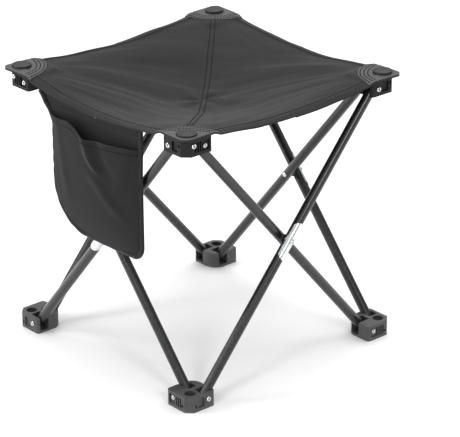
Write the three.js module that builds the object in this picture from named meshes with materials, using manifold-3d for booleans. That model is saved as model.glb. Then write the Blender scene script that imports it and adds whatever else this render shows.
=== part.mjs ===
// Folding camp stool: four crossed tube pairs, moulded corner joints and a sling seat.
// Millimetres, +Z up, feet on z = 0. The front side (-Y) carries the pocket.
import * as THREE from 'three';
import { mergeVertices } from 'three/addons/utils/BufferGeometryUtils.js';
import Module from 'manifold-3d';

const wasm = await Module();
wasm.setup();

// ---------------------------------------------------------------- driving dimensions
const GAP = 0.3; // air left between separate pieces
const OVERCUT = 1; // how far a cutter runs past the face it opens

const CORNER = 159; // side of the plan square, centre to corner-joint centre
const JOINT_SIZE = 44; // corner joint, across its plan
const JOINT_HEIGHT = 22;
const JOINT_TOP = 374; // flat top of the upper corner joints

const TUBE_RADIUS = 6.5;
const TUBE_WALL = 1.2;
const TUBE_OVERRUN = 5.5; // tube beyond its end pivot
const OUTER_OFFSET = 10.5; // outer tube axis, outward from the corner centre
const INNER_OFFSET = -4.5; // inner tube axis, outward from the corner centre
const PIVOT_INSET = 11; // pivot, inward from the corner centre
const PIVOT_HEIGHT = 12.5; // pivot above the joint's flat base

const PIN_RADIUS = 2;
const PIN_HEAD_RADIUS = 3.4;
const PIN_HEAD_HEIGHT = 1.4;
const PIN_HOLE_RADIUS = 2.1;
const PIN_SIDES = 12;

const CAP_OFFSET = 8.5; // seat cap, outward from the corner centre
const CAP_RADIUS = 13;
const CAP_HEIGHT = 4.2;
const STEM_RADIUS = 7.2;
const STEM_LENGTH = 17;
const SOCKET_RADIUS = 7.6;
const CROSS_PIN_DEPTH = 8; // cap's cross pin, from the joint's flat base

const SEAT_HALF = 186; // seat fabric, centre to hem
const FABRIC = 1.2; // fabric thickness
const TIP_RADIUS = 9; // rounding of the seat's corners

// ---------------------------------------------------------------- derived sizes
const quarter = Math.PI / 2;
const HALF = JOINT_SIZE / 2;
const pivotSpan = CORNER - PIVOT_INSET; // side centre to end pivot
const footPivotZ = PIVOT_HEIGHT;
const hubPivotZ = JOINT_TOP - PIVOT_HEIGHT;
const tubeRise = Math.atan2(hubPivotZ - footPivotZ, 2 * pivotSpan);
const pivotLength = Math.hypot(hubPivotZ - footPivotZ, 2 * pivotSpan);
const outerPlane = CORNER + OUTER_OFFSET;
const innerPlane = CORNER + INNER_OFFSET;
const hingeLine = CORNER - HALF - OVERCUT; // where the seat folds over the joints' inner edges
const fabricTop = JOINT_TOP + GAP + FABRIC;
const capSeat = fabricTop + 3 * GAP; // underside of the cap's disc

// ---------------------------------------------------------------- materials
const material = (color, roughness, metalness = 0) =>
  new THREE.MeshStandardMaterial({ color, roughness, metalness });

const tubeCoat = material(0x1b1c1e, 0.42, 0.3);
const mouldedPlastic = material(0x242527, 0.6);
const capPlastic = material(0x101112, 0.5);
const brightSteel = material(0xc9ccd0, 0.2, 1);
const washerPlastic = material(0x303134, 0.5);
const seatFabric = material(0x3c3d40, 0.9);
const pocketFabric = material(0x34353a, 0.9);

// ---------------------------------------------------------------- solids
function weld(geometry) {
  geometry.deleteAttribute('normal');
  geometry.deleteAttribute('uv');
  const merged = mergeVertices(geometry, 1e-3);
  const kept = [];
  const source = merged.index.array;
  for (let i = 0; i < source.length; i += 3) {
    const [a, b, c] = [source[i], source[i + 1], source[i + 2]];
    if (a !== b && b !== c && c !== a) kept.push(a, b, c);
  }
  merged.setIndex(kept);
  return merged;
}

function toSolid(geometry) {
  const merged = weld(geometry);
  return new wasm.Manifold(new wasm.Mesh({
    numProp: 3,
    vertProperties: new Float32Array(merged.attributes.position.array),
    triVerts: new Uint32Array(merged.index.array),
  }));
}

function toGeometry(solid) {
  const mesh = solid.getMesh();
  const geometry = new THREE.BufferGeometry();
  geometry.setAttribute('position', new THREE.BufferAttribute(mesh.vertProperties, 3));
  geometry.setIndex(new THREE.BufferAttribute(mesh.triVerts, 1));
  geometry.computeVertexNormals();
  return geometry;
}

function box([x0, y0, z0], [x1, y1, z1]) {
  const geometry = new THREE.BoxGeometry(x1 - x0, y1 - y0, z1 - z0);
  geometry.translate((x0 + x1) / 2, (y0 + y1) / 2, (z0 + z1) / 2);
  return toSolid(geometry);
}

// Round bar from one point to another.
function bar(from, to, radius, sides = PIN_SIDES) {
  const start = new THREE.Vector3(...from);
  const along = new THREE.Vector3(...to).sub(start);
  const geometry = new THREE.CylinderGeometry(radius, radius, along.length(), sides);
  geometry.translate(0, along.length() / 2, 0);
  const turn = new THREE.Quaternion().setFromUnitVectors(
    new THREE.Vector3(0, 1, 0),
    along.clone().normalize(),
  );
  geometry.applyQuaternion(turn);
  geometry.translate(...from);
  return toSolid(geometry);
}

function prism(shape, height, curveSegments = 5) {
  return new THREE.ExtrudeGeometry(shape, { depth: height, bevelEnabled: false, curveSegments });
}

// Turned piece about +Y from [radius, height] pairs that start and end on the axis.
function turned(profile, sides) {
  return new THREE.LatheGeometry(profile.map(([r, h]) => new THREE.Vector2(r, h)), sides);
}

// Thin closed sheet: pointAt(u, v) gives one face, and the other lies at a fixed offset from it.
function sheet(pointAt, columns, rows, offset) {
  const positions = [];
  const index = [];
  const layer = (columns + 1) * (rows + 1);
  for (const shift of [[0, 0, 0], offset]) {
    for (let j = 0; j <= rows; j += 1) {
      for (let i = 0; i <= columns; i += 1) {
        const point = pointAt(i / columns, j / rows);
        positions.push(point[0] + shift[0], point[1] + shift[1], point[2] + shift[2]);
      }
    }
  }
  const at = (i, j, k) => k * layer + j * (columns + 1) + i;
  const quad = (a, b, c, d) => index.push(a, b, c, a, c, d);
  for (let j = 0; j < rows; j += 1) {
    for (let i = 0; i < columns; i += 1) {
      quad(at(i, j, 0), at(i + 1, j, 0), at(i + 1, j + 1, 0), at(i, j + 1, 0));
      quad(at(i, j, 1), at(i, j + 1, 1), at(i + 1, j + 1, 1), at(i + 1, j, 1));
    }
  }
  for (let i = 0; i < columns; i += 1) {
    quad(at(i, 0, 1), at(i + 1, 0, 1), at(i + 1, 0, 0), at(i, 0, 0));
    quad(at(i, rows, 0), at(i + 1, rows, 0), at(i + 1, rows, 1), at(i, rows, 1));
  }
  for (let j = 0; j < rows; j += 1) {
    quad(at(0, j, 0), at(0, j + 1, 0), at(0, j + 1, 1), at(0, j, 1));
    quad(at(columns, j, 1), at(columns, j + 1, 1), at(columns, j + 1, 0), at(columns, j, 0));
  }
  const geometry = new THREE.BufferGeometry();
  geometry.setAttribute('position', new THREE.Float32BufferAttribute(positions, 3));
  geometry.setIndex(index);
  return geometry;
}

// ---------------------------------------------------------------- corner joint moulding
const CHAMFER = 9.2; // leg of the cut outer corner
const LOBE_RADIUS = 17; // rounding of the inner corner
const WING_RADIUS = 4; // rounding of the two side corners
const FLANGE = 4.5; // height of the flanges above and below the side recesses
const RECESS = 2.2;
const SLOT_WALL = 3.5; // floor under a tube slot
const SLOT_HALF = 6.9; // half the width of a tube slot
const SLOT_END = 2; // slot end wall, inward from the corner centre
const PILLAR_WIDTH = 6.3; // pillars left beside the cut corner
const BAY_HALF = 6; // half the width of the bay round the inner pin
const PLAIN_WALL = 7; // wall left beside the outer pin, from its axis
const PIN_TIP_PAST = 4.5; // inner pin's tip, beyond its tube slot
const recessFace = HALF - RECESS;
const pillar = HALF - CHAMFER - PILLAR_WIDTH; // inner edge of the pillars
const innerPinTip = -INNER_OFFSET + SLOT_HALF + PIN_TIP_PAST;
const outerPinTip = 0.6;
const crossPinTip = 0.4;
const CROWN = 0.6; // flat top of a pin's head, as a share of the head
const SOCKET_SIDES = 20; // facets round a socket and its cap
const SADDLE_SIDES = 24; // facets round a whole saddle tube
const CAP_EDGE = 1.6; // the cap's slanted rim
const STEM_EDGE = 1; // the stem's slanted end

// Plan of the front-right foot: outer corner at (+x, -y), inner lobe at (-x, +y).
function jointPlan() {
  const shape = new THREE.Shape();
  const wing = HALF - WING_RADIUS;
  const lobe = HALF - LOBE_RADIUS;
  shape.moveTo(-wing, -HALF);
  shape.lineTo(HALF - CHAMFER, -HALF);
  shape.lineTo(HALF, -HALF + CHAMFER);
  shape.lineTo(HALF, wing);
  shape.absarc(wing, wing, WING_RADIUS, 0, quarter, false);
  shape.lineTo(-lobe, HALF);
  shape.absarc(-lobe, lobe, LOBE_RADIUS, Math.PI / 2, Math.PI, false);
  shape.lineTo(-HALF, -wing);
  shape.absarc(-wing, -wing, WING_RADIUS, Math.PI, Math.PI * 1.5, false);
  return shape;
}

// Recesses between the flanges: one plain, one round the inner pin, and slots between ribs.
function jointRecesses() {
  const bottom = FLANGE;
  const top = JOINT_HEIGHT - FLANGE;
  const past = HALF + OVERCUT;
  const pinBay = [-PIVOT_INSET - BAY_HALF, -PIVOT_INSET + BAY_HALF];
  const cuts = [
    box([recessFace, -pillar, bottom], [past, PIVOT_INSET - PLAIN_WALL, top]),
    box([pinBay[0], -past, bottom], [pinBay[1], -recessFace, top]),
  ];
  const ribs = 3;
  const ribThickness = 1.4;
  const pitch = (pillar - pinBay[1]) / ribs;
  for (let i = 0; i < ribs; i += 1) {
    const start = pinBay[1] + ribThickness + i * pitch;
    cuts.push(box([start, -past, bottom], [start + pitch - ribThickness, -recessFace, top]));
  }
  return cuts;
}

// Blind window in the plain side's pillar.
function pillarWindow() {
  const middle = -(pillar + HALF - CHAMFER) / 2;
  const [halfWidth, halfHeight, depth] = [1.4, 2.2, 3];
  return box(
    [HALF - depth, middle - halfWidth, CROSS_PIN_DEPTH - halfHeight],
    [HALF + OVERCUT, middle + halfWidth, CROSS_PIN_DEPTH + halfHeight],
  );
}

function jointMoulding() {
  const slotTop = JOINT_HEIGHT + OVERCUT;
  const past = HALF + OVERCUT;
  const innerAxis = -INNER_OFFSET;
  const innerSlot = box(
    [-past, innerAxis - SLOT_HALF, SLOT_WALL],
    [-SLOT_END, innerAxis + SLOT_HALF, slotTop],
  );
  const outerSlot = box(
    [OUTER_OFFSET - SLOT_HALF, SLOT_END, SLOT_WALL],
    [OUTER_OFFSET + SLOT_HALF, past, slotTop],
  );
  const boreY = (x, tip, z) => bar([x, -past, z], [x, tip + GAP, z], PIN_HOLE_RADIUS);
  const boreX = (y, tip, z) => bar([past, y, z], [-tip - GAP, y, z], PIN_HOLE_RADIUS);
  const bores = [
    bar([CAP_OFFSET, -CAP_OFFSET, -OVERCUT], [CAP_OFFSET, -CAP_OFFSET, slotTop], SOCKET_RADIUS, SOCKET_SIDES),
    boreY(-PIVOT_INSET, innerPinTip, PIVOT_HEIGHT),
    boreX(PIVOT_INSET, outerPinTip, PIVOT_HEIGHT),
    boreY(CAP_OFFSET, crossPinTip, CROSS_PIN_DEPTH),
  ];
  let solid = toSolid(prism(jointPlan(), JOINT_HEIGHT));
  for (const cut of [...jointRecesses(), pillarWindow(), innerSlot, outerSlot, ...bores]) {
    solid = solid.subtract(cut);
  }
  return toGeometry(solid);
}

// ---------------------------------------------------------------- rivets, washers and caps
// Shank from the tip at height 0 up to the head's seat, with a crowned head.
function headedPin(length) {
  const crown = PIN_HEAD_RADIUS * CROWN;
  return weld(turned([
    [0, 0],
    [PIN_RADIUS, 0],
    [PIN_RADIUS, length],
    [PIN_HEAD_RADIUS, length],
    [PIN_HEAD_RADIUS, length + PIN_HEAD_HEIGHT / 2],
    [crown, length + PIN_HEAD_HEIGHT],
    [0, length + PIN_HEAD_HEIGHT],
  ], PIN_SIDES));
}

// Scissor rivet, headed at both ends.
function doubleRivet(length) {
  const crown = PIN_HEAD_RADIUS * CROWN;
  return weld(turned([
    [0, -PIN_HEAD_HEIGHT],
    [crown, -PIN_HEAD_HEIGHT],
    [PIN_HEAD_RADIUS, -PIN_HEAD_HEIGHT / 2],
    [PIN_HEAD_RADIUS, 0],
    [PIN_RADIUS, 0],
    [PIN_RADIUS, length],
    [PIN_HEAD_RADIUS, length],
    [PIN_HEAD_RADIUS, length + PIN_HEAD_HEIGHT / 2],
    [crown, length + PIN_HEAD_HEIGHT],
    [0, length + PIN_HEAD_HEIGHT],
  ], PIN_SIDES));
}

const WASHER_RADIUS = 6.2;
const washerGap = OUTER_OFFSET - INNER_OFFSET - 2 * TUBE_RADIUS;

function washer() {
  const low = GAP / 2;
  const high = washerGap - GAP / 2;
  return weld(turned([
    [PIN_HOLE_RADIUS + GAP, low],
    [WASHER_RADIUS, low],
    [WASHER_RADIUS, high],
    [PIN_HOLE_RADIUS + GAP, high],
    [PIN_HOLE_RADIUS + GAP, low],
  ], PIN_SIDES));
}

// Round cap over the front-right hub: disc, stem and the hole for its cross pin.
function seatCap() {
  const profile = turned([
    [0, -STEM_LENGTH],
    [STEM_RADIUS - STEM_EDGE, -STEM_LENGTH],
    [STEM_RADIUS, -STEM_LENGTH + STEM_EDGE],
    [STEM_RADIUS, 0],
    [CAP_RADIUS, 0],
    [CAP_RADIUS, CAP_HEIGHT / 2],
    [CAP_RADIUS - CAP_EDGE, CAP_HEIGHT],
    [0, CAP_HEIGHT],
  ], SOCKET_SIDES);
  profile.rotateX(quarter);
  const at = CORNER + CAP_OFFSET;
  profile.translate(at, -at, capSeat);
  const pinLevel = JOINT_TOP - CROSS_PIN_DEPTH;
  const across = STEM_RADIUS + OVERCUT;
  const hole = bar([at - across, -at, pinLevel], [at + across, -at, pinLevel], PIN_HOLE_RADIUS);
  return toGeometry(toSolid(profile).subtract(hole));
}

// ---------------------------------------------------------------- tubes and saddles
const TUBE_SIDES = 16;

// Hollow tube along +X from its foot pivot at the origin, holed across Y at each pivot.
function frameTube() {
  const start = -TUBE_OVERRUN;
  const end = pivotLength + TUBE_OVERRUN;
  const across = TUBE_RADIUS + OVERCUT;
  let solid = bar([start, 0, 0], [end, 0, 0], TUBE_RADIUS, TUBE_SIDES);
  solid = solid.subtract(
    bar([start - OVERCUT, 0, 0], [end + OVERCUT, 0, 0], TUBE_RADIUS - TUBE_WALL, TUBE_SIDES),
  );
  for (const x of [0, pivotLength / 2, pivotLength]) {
    solid = solid.subtract(bar([x, -across, 0], [x, across, 0], PIN_HOLE_RADIUS));
  }
  return toGeometry(solid);
}

const SADDLE_LENGTH = 54;
const SADDLE_WALL = 1;
const saddleInner = TUBE_RADIUS + GAP / 2;

// Half-round plate over the tube's outer face (-Y), with rounded ends and a rivet hole.
function saddle() {
  const outer = saddleInner + SADDLE_WALL;
  const reach = SADDLE_LENGTH / 2;
  const halfWidth = outer + OVERCUT;
  const past = reach + OVERCUT;
  let solid = bar([-reach, 0, 0], [reach, 0, 0], outer, SADDLE_SIDES);
  solid = solid.subtract(bar([-past, 0, 0], [past, 0, 0], saddleInner, SADDLE_SIDES));
  const outline = new THREE.Shape();
  outline.absarc(reach - halfWidth, 0, halfWidth, -Math.PI / 2, Math.PI / 2, false);
  outline.absarc(-reach + halfWidth, 0, halfWidth, Math.PI / 2, Math.PI * 1.5, false);
  const cutter = prism(outline, outer + OVERCUT, 6);
  cutter.rotateX(Math.PI / 2);
  solid = solid.intersect(toSolid(cutter.translate(0, -SADDLE_WALL, 0)));
  solid = solid.subtract(bar([0, -outer - OVERCUT, 0], [0, 0, 0], PIN_HOLE_RADIUS + GAP));
  return toGeometry(solid);
}

// ---------------------------------------------------------------- seat fabric
const CENTRE_DIP = 42;
const HEM_DIP = { front: 17, back: 9.5, left: 8, right: 11 };
const spanLimit = CORNER - HALF; // the fabric is free between the joints' inner edges

function hang(distance) {
  const t = Math.min(1, Math.abs(distance) / spanLimit);
  return 1 - t * t;
}

// Height of the seat's upper face.
function seatHeight(x, y) {
  const u = x / SEAT_HALF;
  const v = y / SEAT_HALF;
  const fromHems = hang(x) * ((1 - v) * HEM_DIP.front + (1 + v) * HEM_DIP.back) / 2
    + hang(y) * ((1 - u) * HEM_DIP.left + (1 + u) * HEM_DIP.right) / 2;
  const meanHems = (HEM_DIP.front + HEM_DIP.back + HEM_DIP.left + HEM_DIP.right) / 2;
  return fabricTop - fromHems - (CENTRE_DIP - meanHems) * hang(x) * hang(y);
}

// Seat piece between two lines across the stool, with a grid line over each joint's inner edge.
function seatPiece(yFrom, yTo, rows) {
  const columns = 16;
  const margin = 2 / columns; // share of the columns over the joints, at each end
  const surface = (u, v) => {
    const fromMiddle = Math.abs(u - 0.5);
    const free = 0.5 - margin;
    const across = fromMiddle <= free
      ? (spanLimit * fromMiddle) / free
      : spanLimit + ((SEAT_HALF - spanLimit) * (fromMiddle - free)) / margin;
    const x = Math.sign(u - 0.5) * across;
    const y = yFrom + (yTo - yFrom) * v;
    return [x, y, seatHeight(x, y)];
  };
  return sheet(surface, columns, rows, [0, 0, -FABRIC]);
}

// Everything outside the rounded tips at the front-right corner.
function tipCutter() {
  const edge = SEAT_HALF - TIP_RADIUS;
  const past = SEAT_HALF + OVERCUT;
  const [low, high] = [JOINT_TOP - JOINT_HEIGHT, JOINT_TOP + JOINT_HEIGHT];
  const block = box([edge, -past, low], [past, -edge, high]);
  return block.subtract(bar([edge, -edge, low - OVERCUT], [edge, -edge, high + OVERCUT], TIP_RADIUS, 32));
}

function seatStrip(yFrom, yTo, corners) {
  let solid = toSolid(seatPiece(yFrom, yTo, 3));
  const at = CORNER + CAP_OFFSET;
  for (const corner of corners) {
    const turn = 90 * corner;
    const hole = bar(
      [at, -at, JOINT_TOP - OVERCUT],
      [at, -at, capSeat],
      SOCKET_RADIUS,
      SOCKET_SIDES,
    );
    solid = solid.subtract(tipCutter().rotate([0, 0, turn])).subtract(hole.rotate([0, 0, turn]));
  }
  return toGeometry(solid);
}

// ---------------------------------------------------------------- pocket on the front side
const POCKET = {
  left: -85,
  right: 97,
  bottom: 184, // height of the lower edge at its left end
  bottomRise: 2, // how much higher the lower edge is at its right end
  leftRadius: 67,
  rightRadius: 20,
  inset: 4.8, // outer face of the back panel, inward from the hem
  mouth: 338, // height of the front wall's upper edge at its ends
  mouthDroop: 9,
  lowPoint: 0.5, // where the mouth hangs lowest, from left to right
  bulge: 15,
  flatness: 0.7, // a smaller power spreads the bulge more evenly from side to side
  fullFrom: 0.625, // share of the way up at which the bulge is full
};

// Straight side that turns into the bottom edge with a round corner.
function pocketEdge(z, side, radius, sign) {
  const drop = Math.max(0, POCKET.bottom + radius - z);
  const centre = side - sign * radius;
  return centre + sign * Math.sqrt(Math.max(0, radius * radius - drop * drop));
}

const pocketLeft = (z) => pocketEdge(z, POCKET.left, POCKET.leftRadius, -1);
const pocketRight = (z) => pocketEdge(z, POCKET.right, POCKET.rightRadius, 1);

// Height z, lifted so that the lower edge rises to the right and the mouth stays put.
function slanted(x, z) {
  const across = (x - POCKET.left) / (POCKET.right - POCKET.left);
  const below = Math.max(0, (POCKET.mouth - z) / (POCKET.mouth - POCKET.bottom));
  return z + POCKET.bottomRise * across * below;
}

function pocketBack() {
  const steps = 8;
  const shape = new THREE.Shape();
  const corner = (edge, radius, i) => {
    const z = POCKET.bottom + radius * (1 - Math.cos((i / steps) * quarter));
    shape.lineTo(edge(z), slanted(edge(z), z));
  };
  shape.moveTo(pocketLeft(POCKET.bottom), slanted(pocketLeft(POCKET.bottom), POCKET.bottom));
  for (let i = 0; i <= steps; i += 1) corner(pocketRight, POCKET.rightRadius, i);
  for (let i = 0; i <= steps; i += 1) {
    const x = POCKET.right + (POCKET.left - POCKET.right) * (i / steps);
    shape.lineTo(x, seatHeight(x, -SEAT_HALF) - FABRIC - GAP);
  }
  for (let i = steps; i > 0; i -= 1) corner(pocketLeft, POCKET.leftRadius, i);
  const plate = prism(shape, FABRIC);
  plate.rotateX(quarter);
  plate.translate(0, -SEAT_HALF + POCKET.inset + FABRIC, 0);
  return weld(plate);
}

// Height of the front wall's upper edge, from its left end (0) to its right end (1).
function mouthHeight(across) {
  const { lowPoint } = POCKET;
  const falling = Math.sin(Math.min(1, across / lowPoint) * quarter) ** 2;
  const rising = Math.min(1, (1 - across) / (1 - lowPoint));
  const droop = Math.min(falling, rising);
  return POCKET.mouth - POCKET.mouthDroop * droop;
}

function pocketFront() {
  const face = -SEAT_HALF + POCKET.inset - GAP - FABRIC;
  const surface = (u, v) => {
    const z = POCKET.bottom + (mouthHeight(u) - POCKET.bottom) * (1 - Math.cos(v * quarter));
    const x = pocketLeft(z) + (pocketRight(z) - pocketLeft(z)) * u;
    const across = Math.sin(Math.PI * u) ** POCKET.flatness;
    const upward = Math.sin(Math.min(1, v / POCKET.fullFrom) * quarter);
    return [x, face - POCKET.bulge * across * upward, slanted(x, z)];
  };
  return weld(sheet(surface, 14, 10, [0, FABRIC, 0]));
}

// ---------------------------------------------------------------- assembly
const stool = new THREE.Group();
stool.name = 'camp_stool';
// The plan box is centred on the origin, with the pocket counted in.
stool.position.y = (POCKET.bulge + FABRIC + GAP - POCKET.inset) / 2;

const SIDES = ['front', 'right', 'back', 'left'];
const CORNERS = ['front_right', 'back_right', 'back_left', 'front_left'];

function add(parent, name, geometry, meshMaterial) {
  const mesh = new THREE.Mesh(geometry, meshMaterial.clone());
  mesh.name = name;
  parent.add(mesh);
  return mesh;
}

function turnedGroup(turns) {
  const group = new THREE.Group();
  group.rotation.z = turns * quarter;
  stool.add(group);
  return group;
}

const tubeGeometry = frameTube();
const saddleGeometry = saddle();
const rivetLength = OUTER_OFFSET - INNER_OFFSET + TUBE_RADIUS + saddleInner + SADDLE_WALL + GAP;
const scissorRivet = doubleRivet(rivetLength);
const washerGeometry = washer();

// One side of the frame, drawn as the front side: outer tube, inner tube and their pivot.
SIDES.forEach((side, turns) => {
  const group = turnedGroup(turns);
  const outer = add(group, `${side}_outer_tube`, tubeGeometry, tubeCoat);
  outer.position.set(-pivotSpan, -outerPlane, footPivotZ);
  outer.rotation.y = -tubeRise;
  const inner = add(group, `${side}_inner_tube`, tubeGeometry, tubeCoat);
  inner.position.set(pivotSpan, -innerPlane, footPivotZ);
  inner.rotation.y = tubeRise - Math.PI;

  const middle = (footPivotZ + hubPivotZ) / 2;
  const plate = add(group, `${side}_saddle_plate`, saddleGeometry, brightSteel);
  plate.position.set(0, -outerPlane, middle);
  plate.rotation.y = -tubeRise;
  const rivet = add(group, `${side}_scissor_rivet`, scissorRivet, brightSteel);
  rivet.position.set(0, -innerPlane + TUBE_RADIUS + GAP / 2, middle);
  rivet.rotation.x = Math.PI;
  const ring = add(group, `${side}_pivot_washer`, washerGeometry, washerPlastic);
  ring.position.set(0, -innerPlane - TUBE_RADIUS, middle);
  ring.rotation.x = Math.PI;
});

const jointGeometry = jointMoulding();
const capGeometry = seatCap();
const innerPinGeometry = headedPin(recessFace + GAP / 2 + innerPinTip);
const outerPinGeometry = headedPin(HALF + GAP / 2 + outerPinTip);
const crossPinGeometry = headedPin(HALF + GAP / 2 + crossPinTip);

// A corner joint with its two pivot pins, in the front-right foot's own axes.
function cornerJoint(parent, name, pinNames) {
  add(parent, name, jointGeometry, mouldedPlastic);
  const innerPin = add(parent, pinNames.inner, innerPinGeometry, brightSteel);
  innerPin.position.set(-PIVOT_INSET, innerPinTip, PIVOT_HEIGHT);
  innerPin.rotation.x = Math.PI;
  const outerPin = add(parent, pinNames.outer, outerPinGeometry, brightSteel);
  outerPin.position.set(-outerPinTip, PIVOT_INSET, PIVOT_HEIGHT);
  outerPin.rotation.z = -quarter;
}

CORNERS.forEach((corner, turns) => {
  const group = turnedGroup(turns);
  const thisSide = SIDES[turns];
  const nextSide = SIDES[(turns + 1) % SIDES.length];

  const foot = new THREE.Group();
  foot.position.set(CORNER, -CORNER, 0);
  group.add(foot);
  cornerJoint(foot, `${corner}_foot`, {
    inner: `${thisSide}_inner_foot_pin`,
    outer: `${nextSide}_outer_foot_pin`,
  });

  // The upper joint is the same moulding turned over about the stool's diagonal.
  const hub = new THREE.Group();
  hub.position.set(CORNER, -CORNER, JOINT_TOP);
  hub.quaternion.setFromAxisAngle(new THREE.Vector3(1, -1, 0).normalize(), Math.PI);
  group.add(hub);
  cornerJoint(hub, `${corner}_hub`, {
    inner: `${nextSide}_inner_hub_pin`,
    outer: `${thisSide}_outer_hub_pin`,
  });

  const crossPin = add(hub, `${corner}_cap_pin`, crossPinGeometry, brightSteel);
  crossPin.position.set(CAP_OFFSET, crossPinTip, CROSS_PIN_DEPTH);
  crossPin.rotation.x = Math.PI;
  add(group, `${corner}_seat_cap`, capGeometry, capPlastic);
});

add(stool, 'seat_front_strip', seatStrip(-SEAT_HALF, -hingeLine - GAP / 2, [0, 3]), seatFabric);
add(stool, 'seat_front_panel', weld(seatPiece(-hingeLine + GAP / 2, -GAP / 2, 7)), seatFabric);
add(stool, 'seat_back_panel', weld(seatPiece(GAP / 2, hingeLine - GAP / 2, 7)), seatFabric);
add(stool, 'seat_back_strip', seatStrip(hingeLine + GAP / 2, SEAT_HALF, [1, 2]), seatFabric);
add(stool, 'pocket_back_panel', pocketBack(), pocketFabric);
add(stool, 'pocket_front_panel', pocketFront(), pocketFabric);

export default stool;
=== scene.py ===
"""Looks for the folding camp stool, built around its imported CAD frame. Metres, +Z up."""
import math

import bmesh
import bpy
import numpy as np
from mathutils import Matrix, Vector, noise


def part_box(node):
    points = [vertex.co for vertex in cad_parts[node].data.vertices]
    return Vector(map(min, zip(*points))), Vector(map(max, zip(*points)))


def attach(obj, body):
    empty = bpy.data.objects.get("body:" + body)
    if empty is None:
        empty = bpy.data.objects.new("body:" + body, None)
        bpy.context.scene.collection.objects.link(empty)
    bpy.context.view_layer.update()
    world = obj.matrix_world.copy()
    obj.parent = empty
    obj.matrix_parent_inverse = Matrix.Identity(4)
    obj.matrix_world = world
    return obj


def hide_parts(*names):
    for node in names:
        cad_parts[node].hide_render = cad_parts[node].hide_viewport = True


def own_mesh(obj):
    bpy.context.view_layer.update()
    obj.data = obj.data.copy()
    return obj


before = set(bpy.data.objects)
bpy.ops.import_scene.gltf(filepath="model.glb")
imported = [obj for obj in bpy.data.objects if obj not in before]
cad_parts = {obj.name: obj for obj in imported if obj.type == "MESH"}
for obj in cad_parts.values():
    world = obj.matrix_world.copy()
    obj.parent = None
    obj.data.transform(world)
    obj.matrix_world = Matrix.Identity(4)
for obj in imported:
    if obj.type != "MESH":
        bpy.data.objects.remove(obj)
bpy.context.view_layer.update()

MM = 0.001
QUARTER = math.pi / 2
SIDES = ("front", "right", "back", "left")
CORNERS = ("front_right", "back_right", "back_left", "front_left")


def centre(node):
    low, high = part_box(node)
    return (low + high) / 2


def smooth(value, low, high):
    """From 0 at low to 1 at high, level at both ends."""
    t = min(1.0, max(0.0, (value - low) / (high - low)))
    return t * t * (3 - 2 * t)


def bell(distance, width):
    """1 at no distance, falling off to nothing over about twice the width."""
    return math.exp(-(distance / width) ** 2)


def arch(share, power):
    """0 at both ends of a width, 1 in its middle; a smaller power keeps it full for longer."""
    return math.sin(math.pi * share) ** power


# ---------------------------------------------------------------- places read from the frame
hub_low, hub_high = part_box("front_right_hub")
cap_low, cap_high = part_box("front_right_seat_cap")
strip_low, strip_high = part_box("seat_front_strip")
MIDDLE_Y = (strip_low.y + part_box("seat_back_strip")[1].y) / 2  # the frame's middle, which isn't the box's
SEAT_HALF = strip_high.x
SEAT_TOP = strip_high.z
HINGE = MIDDLE_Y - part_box("seat_front_panel")[0].y
HUB_INNER = hub_low.x
HUB_TOP = hub_high.z
CAP_AT = (cap_low.x + cap_high.x) / 2
CAP_DISC = 4.2 * MM
CAP_UNDERSIDE = cap_high.z - CAP_DISC


# ---------------------------------------------------------------- materials
DYE_CONTRAST = 0.22
SLUB_SHADE = 0.82
STREAK_LIGHT = 1.7
TARNISH_SHADE = 0.82
DUST = (0.16, 0.155, 0.145)
DUST_TOP = 12 * MM


def new_material(name):
    material = bpy.data.materials.new(name)
    material.use_nodes = True
    tree = material.node_tree
    shader = tree.nodes["Principled BSDF"]
    return material, tree, shader


def add_node(tree, kind, settings=None, **inputs):
    """A node with its plain settings and its input values or links."""
    node = tree.nodes.new(kind)
    for key, value in (settings or {}).items():
        setattr(node, key, value)
    for key, value in inputs.items():
        socket = node.inputs[int(key[1:])] if key[0] == "i" and key[1:].isdigit() else node.inputs[key]
        if isinstance(value, bpy.types.NodeSocket):
            tree.links.new(value, socket)
        else:
            socket.default_value = value
    return node


def place(tree):
    return add_node(tree, "ShaderNodeTexCoord").outputs["Object"]


def noise_node(tree, vector, scale, detail=4.0, rough=0.55):
    return add_node(tree, "ShaderNodeTexNoise", None, Vector=vector, Scale=scale,
                    Detail=detail, Roughness=rough).outputs["Fac"]


def ramp(tree, value, low, high, dark, light):
    """Colour from dark to light as value goes from low to high."""
    node = tree.nodes.new("ShaderNodeValToRGB")
    tree.links.new(value, node.inputs["Fac"])
    first, last = node.color_ramp.elements
    first.position, first.color = low, (*dark, 1)
    last.position, last.color = high, (*light, 1)
    return node.outputs["Color"]


def spread(tree, value, low, high):
    """value, from 0 to 1, stretched to run from low to high."""
    node = add_node(tree, "ShaderNodeMapRange", None, Value=value, **{"To Min": low, "To Max": high})
    return node.outputs["Result"]


def math_node(tree, operation, first, second=0.0):
    return add_node(tree, "ShaderNodeMath", {"operation": operation}, i0=first, i1=second).outputs["Value"]


def bump(tree, height, distance, strength=1.0, below=None):
    node = add_node(tree, "ShaderNodeBump", None, Height=height, Distance=distance, Strength=strength)
    if below is not None:
        tree.links.new(below, node.inputs["Normal"])
    return node.outputs["Normal"]


def mixed(tree, factor, first, second, blend="MIX"):
    node = add_node(tree, "ShaderNodeMix", {"data_type": "RGBA", "blend_type": blend}, i0=factor)
    for index, value in ((6, first), (7, second)):
        if isinstance(value, bpy.types.NodeSocket):
            tree.links.new(value, node.inputs[index])
        else:
            node.inputs[index].default_value = (*value, 1)
    return node.outputs[2]


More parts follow.
